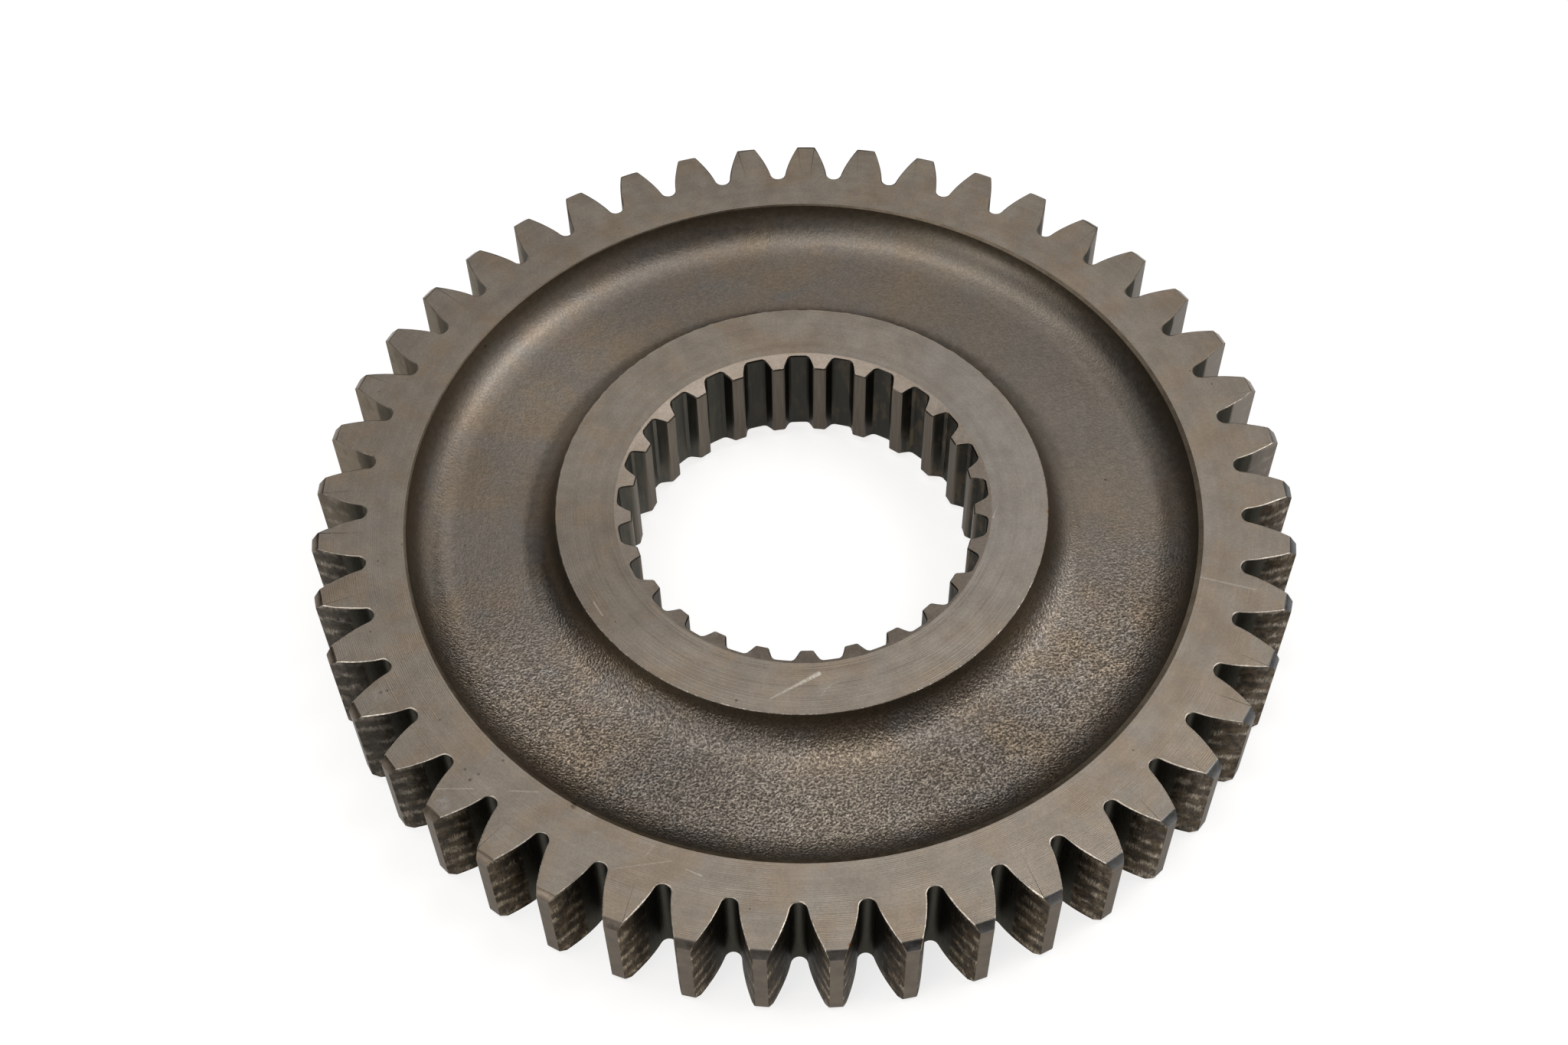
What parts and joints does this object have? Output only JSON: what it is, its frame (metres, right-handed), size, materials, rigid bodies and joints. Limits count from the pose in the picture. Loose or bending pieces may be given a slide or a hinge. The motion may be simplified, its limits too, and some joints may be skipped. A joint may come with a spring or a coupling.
{
  "type": "transmission gear",
  "caption": "Spur transmission gear with deep involute teeth on a turned rim, a thin forged web between recesses, and a hub with a splined bore.",
  "frame": {"origin": "centre of the lower end face, on the gear's axis", "axes": "+Z along the gear's axis towards the end face that the picture shows, -Y towards the camera, +X to the right in the picture"},
  "size_m": [0.143, 0.1429, 0.0175],
  "materials": {
    "steel": "turned end faces and hobbed teeth with a warm grey-brown tint, and a darker pebbled shot-blasted forging skin in the recesses"
  },
  "bodies": {
    "root": {"gear": "steel"}
  },
  "joints": []
}
